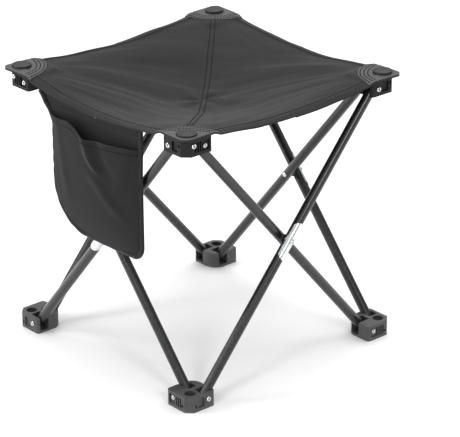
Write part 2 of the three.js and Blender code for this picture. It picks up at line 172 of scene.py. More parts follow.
def weave_height(tree, vector, pitch, plane="XY"):
    """Plain weave: over-and-under bumps of two thread sets at right angles in a plane."""
    parts = add_node(tree, "ShaderNodeSeparateXYZ", None, Vector=vector)
    turns = 2 * math.pi / pitch

    def thread(axis, shift):
        angle = math_node(tree, "MULTIPLY", parts.outputs[axis], turns)
        return math_node(tree, "SINE", math_node(tree, "ADD", angle, shift))

    product = math_node(tree, "MULTIPLY", thread(plane[0], 0.0), thread(plane[1], 0.0))
    return spread(tree, math_node(tree, "MULTIPLY_ADD", product, 0.5), 0.0, 1.0)


def fabric(name, colour, plane, pitch=0.9 * MM, roughness=0.86, sheen=0.25):
    """Woven polyester: thread bumps, uneven dye, faint creases and a soft sheen."""
    material, tree, shader = new_material(name)
    vector = place(tree)
    weave = weave_height(tree, vector, pitch, plane)
    cloudy = noise_node(tree, vector, 14.0, 5.0, 0.6)
    slub = noise_node(tree, vector, 900.0, 2.0, 0.5)
    dark = tuple(c * (1 - DYE_CONTRAST) for c in colour)
    light = tuple(c * (1 + DYE_CONTRAST) for c in colour)
    base = ramp(tree, cloudy, 0.3, 0.7, dark, light)
    threads = ramp(tree, slub, 0.3, 0.7, (SLUB_SHADE,) * 3, (1.0, 1.0, 1.0))
    tree.links.new(mixed(tree, 1.0, base, threads, "MULTIPLY"), shader.inputs["Base Color"])
    rough = spread(tree, cloudy, roughness - 0.06, roughness + 0.06)
    tree.links.new(rough, shader.inputs["Roughness"])
    shader.inputs["Sheen Weight"].default_value = sheen
    shader.inputs["Sheen Roughness"].default_value = 0.45
    shader.inputs["Specular IOR Level"].default_value = 0.25
    crease = bump(tree, noise_node(tree, vector, 55.0, 4.0, 0.5), 0.6 * MM, 0.35)
    tree.links.new(bump(tree, weave, 0.12 * MM, 0.5, crease), shader.inputs["Normal"])
    return material


def powder_coat():
    """Black powder coat: fine orange peel, slight sheen changes and a few scuffs."""
    material, tree, shader = new_material("powder_coat")
    vector = place(tree)
    peel = noise_node(tree, vector, 1400.0, 3.0, 0.5)
    scuff = noise_node(tree, vector, 60.0, 8.0, 0.7)
    tree.links.new(ramp(tree, scuff, 0.62, 0.78, (0.0055, 0.0057, 0.0062), (0.016, 0.016, 0.017)),
                   shader.inputs["Base Color"])
    tree.links.new(spread(tree, scuff, 0.20, 0.34), shader.inputs["Roughness"])
    shader.inputs["Coat Weight"].default_value = 0.25
    shader.inputs["Coat Roughness"].default_value = 0.3
    tree.links.new(bump(tree, peel, 0.06 * MM, 0.35), shader.inputs["Normal"])
    return material


def moulded_plastic(name, colour, roughness, dust=0.0, gloss=0.5):
    """Glass-filled nylon: spark-eroded grain, flow streaks, and pale dust low on the part."""
    material, tree, shader = new_material(name)
    vector = place(tree)
    grain = noise_node(tree, vector, 1800.0, 2.0, 0.6)
    flow = noise_node(tree, vector, 90.0, 6.0, 0.65)
    light = tuple(c * STREAK_LIGHT for c in colour)
    base = ramp(tree, flow, 0.35, 0.75, colour, light)
    height = add_node(tree, "ShaderNodeSeparateXYZ", None, Vector=vector).outputs["Z"]
    low = add_node(tree, "ShaderNodeMapRange", None, Value=height,
                   **{"From Min": 0.0, "From Max": DUST_TOP, "To Min": dust, "To Max": 0.0})
    dusty = mixed(tree, math_node(tree, "MULTIPLY", low.outputs["Result"], flow), base, DUST)
    tree.links.new(dusty, shader.inputs["Base Color"])
    rough = spread(tree, flow, roughness - 0.08, roughness + 0.1)
    tree.links.new(rough, shader.inputs["Roughness"])
    shader.inputs["Specular IOR Level"].default_value = gloss
    tree.links.new(bump(tree, grain, 0.05 * MM, 0.4), shader.inputs["Normal"])
    return material


def plated_steel(name, colour, roughness):
    """Bright zinc or nickel plate with fine draw marks and a little tarnish."""
    material, tree, shader = new_material(name)
    vector = place(tree)
    tarnish = noise_node(tree, vector, 220.0, 5.0, 0.6)
    dark = tuple(c * TARNISH_SHADE for c in colour)
    tree.links.new(ramp(tree, tarnish, 0.35, 0.7, dark, colour), shader.inputs["Base Color"])
    rough = spread(tree, tarnish, roughness - 0.04, roughness + 0.08)
    tree.links.new(rough, shader.inputs["Roughness"])
    shader.inputs["Metallic"].default_value = 1.0
    drawn = noise_node(tree, vector, 260.0, 2.0, 0.5)
    tree.links.new(bump(tree, drawn, 0.03 * MM, 0.05), shader.inputs["Normal"])
    return material


COAT = powder_coat()
# Feet and hubs are one joint moulding: the hub's copy is made far darker than the foot's, painted shade
# standing for the shade under the seat.
FOOT = moulded_plastic("foot_plastic", (0.041, 0.0413, 0.0425), 0.5, dust=0.4)
HUB_PAINTED_SHADE = moulded_plastic("hub_plastic", (0.002, 0.0021, 0.0023), 0.6, gloss=0.32)
CAP = moulded_plastic("cap_plastic", (0.010, 0.0102, 0.0107), 0.42, gloss=0.38)
WASHER = moulded_plastic("washer_nylon", (0.03, 0.03, 0.032), 0.45)
RIVET = plated_steel("rivet_steel", (0.74, 0.75, 0.77), 0.2)
SADDLE = plated_steel("saddle_steel", (0.86, 0.87, 0.89), 0.17)
SEAT = fabric("seat_oxford", (0.0185, 0.0188, 0.020), "XY", sheen=0.08)
PATCH = fabric("patch_coated", (0.060, 0.061, 0.064), "XY", pitch=1.3 * MM, roughness=0.34, sheen=0.1)
# The pocket cloth is the seat's oxford made about three times darker: painted shade for the shade under the
# seat's hem.
POCKET_PAINTED_SHADE = fabric("pocket_oxford_painted_shade", (0.0062, 0.0064, 0.0073), "XZ", sheen=0.10)
TAPE = fabric("binding_tape", (0.006, 0.006, 0.0066), "XZ", pitch=0.6 * MM, roughness=0.7, sheen=0.15)
# Stitch thread, near black: partly its own colour and partly painted shade for the shadow lines at the hem's
# step and in the patch's grooves.
THREAD_AND_PAINTED_SHADE = fabric("sewing_thread_and_painted_shade", (0.0015, 0.0015, 0.0017), "XY", pitch=0.3 * MM, roughness=0.7, sheen=0.0)


# ---------------------------------------------------------------- mesh helpers
AXIS_RADIUS = 0.001 * MM  # stands for a radius of nothing until the points are joined
POLE_WIDTH = 0.005 * MM


def make_piece(name, vertices, faces, material, body, slot, sharp_degrees=35.0):
    """A mesh piece that rides a body; its slot argument is not used."""
    mesh = bpy.data.meshes.new(name)
    mesh.from_pydata([tuple(v) for v in vertices], [], faces)
    mesh.validate()
    mesh.materials.append(material)
    mesh.shade_smooth()
    mesh.set_sharp_from_angle(angle=math.radians(sharp_degrees))
    piece = bpy.data.objects.new(name, mesh)
    bpy.context.scene.collection.objects.link(piece)
    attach(piece, body)
    return piece


def ring_faces(rings, sides, first=0):
    """Quads between rings of vertices that are stored one after another."""
    faces = []
    for ring in range(rings - 1):
        for side in range(sides):
            a = first + ring * sides + side
            b = first + ring * sides + (side + 1) % sides
            faces.append((a, b, b + sides, a + sides))
    return faces


def basis(along):
    """Two unit vectors at right angles to along and to each other."""
    along = along.normalized()
    helper = Vector((0, 0, 1)) if abs(along.z) < 0.9 else Vector((1, 0, 0))
    across = along.cross(helper).normalized()
    return across, along.cross(across).normalized()


def turned(name, start, along, profile, sides, material, body, slot, closed=False):
    """Turned piece from (radius, height) pairs, which start and end on the axis or close on themselves."""
    along = along.normalized()
    across, upward = basis(along)
    vertices = []
    for radius, height in profile:
        for side in range(sides):
            angle = 2 * math.pi * side / sides
            radial = across * math.cos(angle) + upward * math.sin(angle)
            vertices.append(start + along * height + radial * max(radius, AXIS_RADIUS))
    faces = ring_faces(len(profile), sides)
    if closed:
        last = (len(profile) - 1) * sides
        for side in range(sides):
            other = (side + 1) % sides
            faces.append((last + side, last + other, other, side))
    piece = make_piece(name, vertices, faces, material, body, slot, 30.0)
    if not closed:
        merge_poles(piece)
    return piece


def merge_poles(piece):
    """Joins the rings that lie on the axis into single points."""
    work = bmesh.new()
    work.from_mesh(piece.data)
    bmesh.ops.remove_doubles(work, verts=work.verts, dist=POLE_WIDTH)
    bmesh.ops.recalc_face_normals(work, faces=work.faces)
    work.to_mesh(piece.data)
    work.free()


def sheet_faces(rows, columns):
    """Faces of a closed thin sheet of two grid layers, (rows + 1) x (columns + 1) points each."""
    wide = columns + 1
    layer = (rows + 1) * wide
    faces = []
    for r in range(rows):
        for c in range(columns):
            a = r * wide + c
            b = a + layer
            faces.append((a, a + 1, a + wide + 1, a + wide))
            faces.append((b, b + wide, b + wide + 1, b + 1))
    last = rows * wide
    for c in range(columns):
        faces.append((c + 1, c, c + layer, c + 1 + layer))
        faces.append((last + c, last + c + 1, last + c + 1 + layer, last + c + layer))
    for r in range(rows):
        a, b = r * wide, (r + 1) * wide
        c, d = a + columns, b + columns
        faces.append((a, b, b + layer, a + layer))
        faces.append((d, c, c + layer, d + layer))
    return faces


# ---------------------------------------------------------------- frame: tubes, joints and rivets
TUBE_SIDES = 40
TUBE_OVERRUN = 5.5 * MM  # tube past each of its end pivots
TUBE_LIP = 0.35 * MM
TUBE_WALL = 1.2 * MM
EDGE_SOFTNESS = 0.55 * MM
PIN_SIDES = 28
PIN_RADIUS = 2.0 * MM
PIN_CROWN = 1.4 * MM
PIN_HOLLOW = 1.5 * MM
RIVET_OVERHANG = 0.5 * MM  # scissor rivet's head past its plain solid
SADDLE_GAP = 0.15 * MM
SADDLE_WALL = 0.95 * MM
SADDLE_REACH = 27 * MM
SADDLE_WRAP = 0.97  # share of a half turn round the tube
CAP_SIDES = 48
CAP_STEM = 7.2 * MM
STEM_EDGE = 1 * MM
CAP_EDGE = 0.4 * MM
CAP_RIM = 1.5 * MM
RIM_STEPS = 5
RIM_FLATNESS = 0.8
RING_LIP, RING_DEPTH = 0.12 * MM, 0.3 * MM  # pressed ring on the cap's top
OUTWARD = {
    "front": Vector((0, -1, 0)),
    "right": Vector((1, 0, 0)),
    "back": Vector((0, 1, 0)),
    "left": Vector((-1, 0, 0)),
}


def tube_line(side, kind):
    """Foot pivot, hub pivot and radius of a frame tube, all on the tube's own axis."""
    low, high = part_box(f"{side}_{kind}_tube")
    flat = 1 if side in ("front", "back") else 0
    foot = centre(f"{side}_{kind}_foot_pin")
    hub = centre(f"{side}_{kind}_hub_pin")
    foot[flat] = hub[flat] = (low[flat] + high[flat]) / 2
    return foot, hub, (high[flat] - low[flat]) / 2


def frame_tube(side, kind):
    """Hollow tube with rolled ends."""
    name = f"{side}_{kind}_tube"
    foot, hub, radius = tube_line(side, kind)
    along = (hub - foot).normalized()
    length = (hub - foot).length + 2 * TUBE_OVERRUN
    bore = radius - TUBE_WALL
    profile = [
        (bore, TUBE_LIP), (bore + TUBE_LIP, 0), (radius - TUBE_LIP, 0), (radius, TUBE_LIP),
        (radius, length / 2), (radius, length - TUBE_LIP), (radius - TUBE_LIP, length),
        (bore + TUBE_LIP, length), (bore, length - TUBE_LIP),
    ]
    start = foot - along * TUBE_OVERRUN
    piece = turned(f"{name}_coated", start, along, profile, TUBE_SIDES, COAT, name, "tube_coat", closed=True)
    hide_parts(name)


def joint_moulding(node):
    """The moulded corner joint, with its edges softened as a mould leaves them."""
    work = bmesh.new()
    work.from_mesh(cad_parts[node].data)
    bmesh.ops.remove_doubles(work, verts=work.verts, dist=2e-6)
    bmesh.ops.dissolve_limit(work, angle_limit=math.radians(1.0), verts=work.verts, edges=work.edges)
    mesh = bpy.data.meshes.new(f"{node}_moulded")
    work.to_mesh(mesh)
    work.free()
    mesh.materials.clear()
    # hubs take the darker copy of the joint plastic, which is painted shade
    mesh.materials.append(FOOT if node.endswith("foot") else HUB_PAINTED_SHADE)
    mesh.shade_smooth()
    piece = bpy.data.objects.new(mesh.name, mesh)
    bpy.context.scene.collection.objects.link(piece)
    soften = piece.modifiers.new("soft_edges", "BEVEL")
    soften.width = EDGE_SOFTNESS
    soften.segments = 2
    soften.limit_method = "ANGLE"
    soften.angle_limit = math.radians(32)
    soften.use_clamp_overlap = True
    weighted = piece.modifiers.new("flat_faces", "WEIGHTED_NORMAL")
    weighted.keep_sharp = False
    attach(piece, node)
    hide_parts(node)


def pin_profile(length, radius, head, crown):
    """Tubular rivet: shank, rolled head and the hollow in its middle."""
    hollow = radius * 0.75
    return [
        (0, 0), (radius, 0), (radius, length), (head - 0.2 * MM, length), (head, length + crown * 0.35),
        (head - 0.35 * MM, length + crown * 0.8), (head - 1.0 * MM, length + crown),
        (hollow + 0.4 * MM, length + crown * 0.9), (hollow, length + crown * 0.6),
        (hollow * 0.9, length - crown), (0, length - crown * 1.2),
    ]


def pivot_pin(node, body):
    """A headed pin along X or Y, with its head on the outer side."""
    low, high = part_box(node)
    size = high - low
    axis = 0 if size.x > size.y else 1
    middle = (low + high) / 2
    sign = 1 if middle[axis] - (MIDDLE_Y if axis else 0) > 0 else -1
    along = Vector((0, 0, 0))
    along[axis] = sign
    start = middle.copy()
    start[axis] = low[axis] if sign > 0 else high[axis]
    profile = pin_profile(size[axis] - PIN_CROWN, PIN_RADIUS, size.z / 2, PIN_CROWN)
    piece = turned(f"{node}_turned", start, along, profile, PIN_SIDES, RIVET, body, "rivet_steel")
    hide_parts(node)


def scissor_rivet(side):
    """Double-headed rivet through both tubes and the saddle plate."""
    node = f"{side}_scissor_rivet"
    low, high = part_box(node)
    out = OUTWARD[side]
    axis = 1 if side in ("front", "back") else 0
    start = (low + high) / 2
    start[axis] = low[axis] if out[axis] > 0 else high[axis]
    length = (high - low)[axis]
    head = (high - low).z / 2 + RIVET_OVERHANG
    crown, hollow = PIN_CROWN, PIN_HOLLOW
    profile = [
        (0, 0), (head * 0.55, 0.1 * MM), (head * 0.85, crown * 0.45), (head, crown * 0.9),
        (head - 0.1 * MM, crown), (PIN_RADIUS, crown), (PIN_RADIUS, length - crown),
        (head - 0.1 * MM, length - crown), (head, length - crown * 0.7),
        (head - 0.5 * MM, length - crown * 0.25), (head - 1.2 * MM, length),
        (hollow + 0.4 * MM, length - crown * 0.1), (hollow, length - crown * 0.5),
        (hollow * 0.9, length - crown * 2), (0, length - crown * 2.1),
    ]
    body = f"{side}_outer_tube"
    piece = turned(f"{node}_domed", start, out, profile, PIN_SIDES, RIVET, body, "rivet_steel")
    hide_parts(node)


def saddle_plate(side):
    """Half-round plate with round ends, wrapped over the outer face of the outer tube."""
    node = f"{side}_saddle_plate"
    foot, hub, radius = tube_line(side, "outer")
    along = (hub - foot).normalized()
    out = OUTWARD[side]
    across = along.cross(out).normalized()
    middle = (foot + hub) / 2
    inner = radius + SADDLE_GAP
    half_width = inner + SADDLE_WALL
    arcs, runs = 36, 26
    vertices = []
    for layer in (SADDLE_WALL, 0.0):
        for i in range(arcs + 1):
            angle = math.pi * (i / arcs - 0.5) * SADDLE_WRAP
            drop = half_width * math.sin(angle)
            half = SADDLE_REACH - half_width + math.sqrt(max(0.0, half_width ** 2 - drop ** 2))
            radial = out * math.cos(angle) + across * math.sin(angle)
            for j in range(runs + 1):
                shift = half * math.sin(math.pi * (j / runs - 0.5))
                vertices.append(middle + along * shift + radial * (inner + layer))
    faces = sheet_faces(arcs, runs)
    piece = make_piece(f"{node}_pressed", vertices, faces, SADDLE, f"{side}_outer_tube", "saddle_steel")
    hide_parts(node)


def seat_cap(corner):
    """Black cap over the hub: flat top with a pressed ring, rounded rim and stem."""
    node = f"{corner}_seat_cap"
    low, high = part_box(node)
    middle = (low + high) / 2
    radius = (high - low).x / 2
    base, top = CAP_UNDERSIDE - low.z, high.z - low.z
    profile = [
        (0, 0), (CAP_STEM - STEM_EDGE, 0), (CAP_STEM, STEM_EDGE), (CAP_STEM, base),
        (radius - CAP_EDGE, base), (radius, base + CAP_EDGE), (radius, top - CAP_RIM),
    ]
    for i in range(1, RIM_STEPS + 1):
        turn = i / RIM_STEPS * QUARTER
        rise = CAP_RIM * math.sin(turn) * RIM_FLATNESS
        profile.append((radius - CAP_RIM + CAP_RIM * math.cos(turn), top - CAP_RIM + rise))
    profile += [
        (radius * 0.72, top - RING_LIP), (radius * 0.68, top - RING_DEPTH),
        (radius * 0.64, top - RING_LIP), (radius * 0.3, top), (0, top),
    ]
    start = Vector((middle.x, middle.y, low.z))
    body = f"{corner}_hub"
    piece = turned(f"{node}_moulded", start, Vector((0, 0, 1)), profile, CAP_SIDES, CAP, body, "cap_plastic")
    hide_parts(node)


for side in SIDES:
    frame_tube(side, "outer")
    frame_tube(side, "inner")
    scissor_rivet(side)
    saddle_plate(side)
    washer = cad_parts[f"{side}_pivot_washer"]
    washer.data.materials.clear()
    washer.data.materials.append(WASHER)

for index, corner in enumerate(CORNERS):
    this_side, next_side = SIDES[index], SIDES[(index + 1) % 4]
    joint_moulding(f"{corner}_foot")
    joint_moulding(f"{corner}_hub")
    seat_cap(corner)
    pivot_pin(f"{this_side}_inner_foot_pin", f"{corner}_foot")
    pivot_pin(f"{next_side}_outer_foot_pin", f"{corner}_foot")
    pivot_pin(f"{this_side}_outer_hub_pin", f"{corner}_hub")
    pivot_pin(f"{next_side}_inner_hub_pin", f"{corner}_hub")
    pivot_pin(f"{corner}_cap_pin", f"{corner}_hub")

# ---------------------------------------------------------------- seat surface
CENTRE_DIP = 42 * MM  # of the seat's middle below the caps' level
HEM_DIP = {"front": 17 * MM, "back": 9.5 * MM, "left": 8 * MM, "right": 11 * MM}
HEM_BOW = 4.5 * MM  # how far a hem bows inwards
HEM_CURL = 3.5 * MM  # how far its edge turns down
HEM_WIDTH = 15 * MM
HEM_EXTRA = 0.7 * MM  # the doubled cloth's extra height
HEM_STEP = 0.8 * MM  # width of the step from doubled to single cloth
EDGE_BAND = 12 * MM  # width of the part that curls down
TIP_RADIUS = 9 * MM
TIP_LIFT = {(1, -1): 2.2 * MM, (1, 1): -0.8 * MM, (-1, 1): 0.3 * MM, (-1, -1): -0.8 * MM}
TIP_FROM, TIP_FULL = 4 * MM, 26 * MM  # beyond the cap's middle
CLOTH = 1.0 * MM
HEM_SPAN = HUB_INNER + 16 * MM
ON_HUB = HUB_TOP + CLOTH + 0.25 * MM
HUB_MARGIN = 12 * MM
WAVINESS = 1.4 * MM
BROAD_FOLDS, NARROW_FOLDS = 2.6 * MM, 1.15 * MM
FOLDS_START = (55 * MM, 130 * MM)  # away from their corner
FOLDS_END = (240 * MM, 370 * MM)
CORNER_PULLS = (
    # corner's signs, share, seed
    (-1, -1, 1.0, 2.3),
    (1, 1, 0.9, 5.9),
    (1, -1, 0.3, 8.1),
    (-1, 1, 0.3, 11.4),
)
STAR_HEIGHT, STAR_HOLE, STAR_REACH = 1.5 * MM, 16 * MM, 50 * MM
CREASE_HEIGHT, CREASE_WIDTH, CREASE_REACH = 2.2 * MM, 9 * MM, 70 * MM
CREASE_AWAY = 12 * MM


def sag(distance, power, half=SEAT_HALF):
    """How far a span hangs, from 1 in its middle to 0 at its ends."""
    t = min(1.0, abs(distance) / half)
    return (1 - t * t) ** power


def streaks(x, y, corner_x, corner_y, seed):
    """Uneven pull folds that fan out from one corner of the seat."""
    dx, dy = SEAT_HALF - corner_x * x, SEAT_HALF - corner_y * y
    reach = math.hypot(dx, dy)
    angle = math.atan2(dy, dx) + 0.10 * math.sin(reach * 16 + seed)
    fade = smooth(reach, *FOLDS_START) * (1 - smooth(reach, *FOLDS_END))
    broad = noise.noise(Vector((angle * 5.2, reach * 6.0, seed)))
    narrow = noise.noise(Vector((angle * 12.5, reach * 9.0, seed + 7.0)))
    return fade * (broad * BROAD_FOLDS + narrow * NARROW_FOLDS)


def creases(x, y):
    """Folds from the corners, the star of puckers in the middle and one crease beside it."""
    height = sum(share * streaks(x, y, cx, cy, seed) for cx, cy, share, seed in CORNER_PULLS)
    along, across = (x - y) / math.sqrt(2), (x + y) / math.sqrt(2)
    radius, angle = math.hypot(along, across), math.atan2(across, along)
    star = math.sin(angle * 5 + 0.9) + 0.6 * math.sin(angle * 3 - 1.1)
    height += STAR_HEIGHT * star * smooth(radius, 0.0, STAR_HOLE) * bell(radius, STAR_REACH)
    off_crease = across - CREASE_AWAY - 0.25 * along
    beside = smooth(across, -10 * MM, 20 * MM)
    height += CREASE_HEIGHT * bell(off_crease, CREASE_WIDTH) * beside * bell(radius, CREASE_REACH)
    return height


def seat_flat_to_plan(x, y):
    """Where a point of the flat square lands in plan: rounded tips and hems that bow inwards."""
    edge = SEAT_HALF - TIP_RADIUS
    ax, ay = abs(x), abs(y)
    if ax > edge and ay > edge:
        u, v = (ax - edge) / TIP_RADIUS, (ay - edge) / TIP_RADIUS
        ax = edge + TIP_RADIUS * u * math.sqrt(max(0.0, 1 - v * v / 2))
        ay = edge + TIP_RADIUS * v * math.sqrt(max(0.0, 1 - u * u / 2))
    bow_x = HEM_BOW * sag(y, 1.5) * (ax / SEAT_HALF) ** 4
    bow_y = HEM_BOW * sag(x, 1.5) * (ay / SEAT_HALF) ** 4
    return math.copysign(ax - bow_x, x), math.copysign(ay - bow_y, y)


def over_hub(x, y):
    """1 well inside the plan of the hubs' tops, 0 away from them."""
    inner, outer = HUB_INNER - HUB_MARGIN, HUB_INNER + 1 * MM
    return smooth(abs(x), inner, outer) * smooth(abs(y), inner, outer)


def seat_height(x, y):
    """Upper face of the cloth above the plan point (x, y), y from the seat's middle."""
    u, v = x / SEAT_HALF, y / SEAT_HALF
    hems = sag(x, 1.5, HEM_SPAN) * ((1 - v) * HEM_DIP["front"] + (1 + v) * HEM_DIP["back"]) / 2
    hems += sag(y, 1.5, HEM_SPAN) * ((1 - u) * HEM_DIP["left"] + (1 + u) * HEM_DIP["right"]) / 2
    hems_at_centre = sum(HEM_DIP.values()) / 2
    z = SEAT_TOP - hems - (CENTRE_DIP - hems_at_centre) * sag(x, 1.9) * sag(y, 1.9)
    # folds and waves die out where the corners hold the cloth
    free = smooth(max(sag(x, 1), sag(y, 1)), 0.45, 0.65)
    z += free * creases(x, y)
    z += free * WAVINESS * noise.noise(Vector((x * 17, y * 17, 3.1)))
    edge = max(smooth(abs(x), SEAT_HALF - EDGE_BAND, SEAT_HALF) * sag(y, 0.7),
               smooth(abs(y), SEAT_HALF - EDGE_BAND, SEAT_HALF) * sag(x, 0.7))
    z -= HEM_CURL * edge
    z += over_hub(x, y) * max(0.0, ON_HUB - z)
    beyond = math.hypot(max(0.0, abs(x) - CAP_AT), max(0.0, abs(y) - CAP_AT))
    corner = (1 if x > 0 else -1, 1 if y > 0 else -1)
    return z + TIP_LIFT[corner] * smooth(beyond, TIP_FROM, TIP_FULL)


def seat_point(x, y, lift=0.0):
    """Point of the seat's upper face for a flat point, raised by lift; y counts from the middle."""
    px, py = seat_flat_to_plan(x, y)
    return Vector((px, py + MIDDLE_Y, seat_height(px, py) + lift))


def seat_normal(x, y):
    step = 1 * MM
    across = seat_point(x + step, y) - seat_point(x - step, y)
    along = seat_point(x, y + step) - seat_point(x, y - step)
    return across.cross(along).normalized()


def hem_lift(x, y):
    """Extra height of the doubled cloth in the hem."""
    inside = min(SEAT_HALF - abs(x), SEAT_HALF - abs(y))
    return HEM_EXTRA * (1 - smooth(inside, HEM_WIDTH - HEM_STEP, HEM_WIDTH))


SEAT_PIECES = (
    # name, body, first and last line across the seat, rows
    ("front_strip", "front_left_hub", -SEAT_HALF, -HINGE, 26),
    ("front_panel", "seat_front", -HINGE, 0.0, 64),
    ("back_panel", "seat_back", 0.0, HINGE, 64),
    ("back_strip", "back_left_hub", HINGE, SEAT_HALF, 26),
)
HEM_LINES, FREE_LINES = 8, 75


def gather(piece):
    """Gives a soft piece its own copy of its mesh."""
    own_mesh(piece)


def seat_columns():
    """Grid lines across X, closer together in the hems."""
    hem = list(np.linspace(0, HEM_WIDTH, HEM_LINES + 1))
    free = list(np.linspace(HEM_WIDTH, SEAT_HALF, FREE_LINES + 1))[1:]
    right = [SEAT_HALF - inset for inset in reversed(hem + free)]
    left = [-x for x in reversed(right)]
    return left[:-1] + right


def seat_sheet(name, body, start, stop, rows):
    """One piece of the seat cloth, from one line across the seat to another."""
    columns = seat_columns()
    vertices = []
    for upper in (True, False):
        for y in np.linspace(start, stop, rows + 1):
            for x in columns:
                lift = hem_lift(x, y)
                vertices.append(seat_point(x, y, lift if upper else -CLOTH - lift * 0.8))
    faces = sheet_faces(rows, len(columns) - 1)
    piece = make_piece(f"seat_{name}_cloth", vertices, faces, SEAT, body, "seat_fabric", 60.0)
    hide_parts(f"seat_{name}")
    gather(piece)


for name, body, start, stop, rows in SEAT_PIECES:
    seat_sheet(name, body, start, stop, rows)


# ---------------------------------------------------------------- stitches
STITCH = 3.6 * MM
STITCH_GAP = 0.7 * MM
THREAD_RADIUS = 0.45 * MM
THREAD_SIDES = 6
STITCH_RINGS = (
    # share of the length, height in millimetres, share of the radius
    (0.0, -0.35, 0.7),
    (0.12, 0.25, 1.0),
    (0.5, 0.42, 1.05),
    (0.88, 0.25, 1.0),
    (1.0, -0.35, 0.7),
)
HEM_STITCH_INSET = HEM_WIDTH - 2.5 * MM
SEAM_HALF_GAP = 3.2 * MM / math.sqrt(2)
SEAM_BOW = 2.5 * MM


def stitch_mesh(start, end, normal, store):
    """One stitch: a short thread that dips into the cloth at both ends."""
    vertices, faces = store
    along = end - start
    across = normal.cross(along).normalized()
    first = len(vertices)
    sides, rings = THREAD_SIDES, len(STITCH_RINGS)
    for share, lift, size in STITCH_RINGS:
        middle = start + along * share + normal * (lift * MM)
        for side in range(sides):
            angle = 2 * math.pi * side / sides
            ring = across * math.cos(angle) + normal * math.sin(angle)
            vertices.append(middle + ring * THREAD_RADIUS * size)
    last = first + (rings - 1) * sides
    faces += ring_faces(rings, sides, first)
    faces.append(tuple(first + side for side in reversed(range(sides))))
    faces.append(tuple(last + side for side in range(sides)))


def stitch_row(points, normals, store_for):
    """Stitches at an even pitch along a row of close points. store_for says which mesh each one joins."""
    lengths = [0.0]
    for a, b in zip(points, points[1:]):
        lengths.append(lengths[-1] + (b - a).length)
    point_axes = [np.array([p[axis] for p in points]) for axis in range(3)]
    normal_axes = [np.array([n[axis] for n in normals]) for axis in range(3)]

    def at(distance, axes):
        return Vector([float(np.interp(distance, lengths, values)) for values in axes])

    count = int(lengths[-1] / (STITCH + STITCH_GAP))
    for i in range(count):
        begin = (i + 0.5) * lengths[-1] / count - STITCH / 2
        start, end = at(begin, point_axes), at(begin + STITCH, point_axes)
        store = store_for((start + end) / 2)
        if store is not None:
            normal = at(begin + STITCH / 2, normal_axes).normalized()
            stitch_mesh(start, end, normal, store)


seat_stores = {name: ([], []) for name, *_ in SEAT_PIECES}


def seat_store(middle):
    """The stitch mesh of the seat piece under a point."""
    y = middle.y - MIDDLE_Y
    for name, _, start, stop, _ in SEAT_PIECES:
        if start <= y <= stop:
            return seat_stores[name]
    return None


def seat_row(flat_points, lift):
    """A row of stitches along flat points of the seat, raised by lift(x, y)."""
    points = [seat_point(x, y, lift(x, y)) for x, y in flat_points]
    normals = [seat_normal(x, y) for x, y in flat_points]
    stitch_row(points, normals, seat_store)


def hem_rows():
    """One row along each of the four hems."""
    reach = SEAT_HALF - 2 * MM
    steps = np.linspace(-reach, reach, 200)
    for sign in (-1, 1):
        line = sign * (SEAT_HALF - HEM_STITCH_INSET)
        seat_row([(s, line) for s in steps], hem_lift)
        seat_row([(line, s) for s in steps], hem_lift)


def seam_rows():
    """Two rows either side of the seat's diagonal, from the back-left cap to the front-right cap."""
    for side in (-1, 1):
        flats = []
        for s in np.linspace(-CAP_AT, CAP_AT, 260):
            drift = side * SEAM_HALF_GAP + SEAM_BOW * (1 - (s / CAP_AT) ** 2)
            flats.append((s + drift, -s + drift))
        seat_row(flats, lambda x, y: 0.0)


def seat_stitches():
    hem_rows()
    seam_rows()
    for name, body, *_ in SEAT_PIECES:
        vertices, faces = seat_stores[name]
        piece = make_piece(f"seat_{name}_stitches", vertices, faces, THREAD_AND_PAINTED_SHADE, body, "seat_fabric", 80.0)
        gather(piece)


seat_stitches()

# ---------------------------------------------------------------- corner patches
PATCH_REACH = 58 * MM
PATCH_THICK = 1.1 * MM
PATCH_TIP = 0.8 * MM  # cut off the patch at the seat's corner
PATCH_CLEAR = 0.15 * MM
PATCH_ROWS = (3.0 * MM, 8.0 * MM, 13.0 * MM)
GROOVE, GROOVE_WIDTH = 0.7 * MM, 1.1 * MM


def patch_flat(corner_x, corner_y, radius, angle):
    """Flat point of a patch, at a radius and an angle about the seat's square corner."""
    x = corner_x * (SEAT_HALF - radius * math.cos(angle))
    y = corner_y * (SEAT_HALF - radius * math.sin(angle))
    return x, y


def patch_lift(radius):
    """Height of a patch's upper face over its lower one: thinned at the rim and grooved by the stitches."""
    depth = PATCH_REACH - radius
    rim = 1 - smooth(depth, 0.0, 1.0 * MM)
    groove = sum(bell(depth - row, GROOVE_WIDTH) for row in PATCH_ROWS)
    return PATCH_THICK * (1 - 0.4 * rim) - GROOVE * groove


def corner_patch(corner):
    """Quarter disc of coated cloth over a corner of the seat, with three stitched arcs."""
    sign_x = 1 if corner.endswith("right") else -1
    sign_y = -1 if corner.startswith("front") else 1
    rings, turns = 84, 40
    vertices = []
    for upper in (True, False):
        for i in range(rings + 1):
            radius = PATCH_TIP + (PATCH_REACH - PATCH_TIP) * i / rings
            for j in range(turns + 1):
                x, y = patch_flat(sign_x, sign_y, radius, QUARTER * j / turns)
                lift = hem_lift(x, y) + PATCH_CLEAR + (patch_lift(radius) if upper else 0.0)
                vertices.append(seat_point(x, y, lift))
    faces = sheet_faces(rings, turns)
    if sign_x * sign_y > 0:
        faces = [tuple(reversed(face)) for face in faces]
    body = f"{corner}_hub"
    piece = make_piece(f"{corner}_seat_patch", vertices, faces, PATCH, body, "patch_fabric", 60.0)
    patch_stitches(corner, sign_x, sign_y)


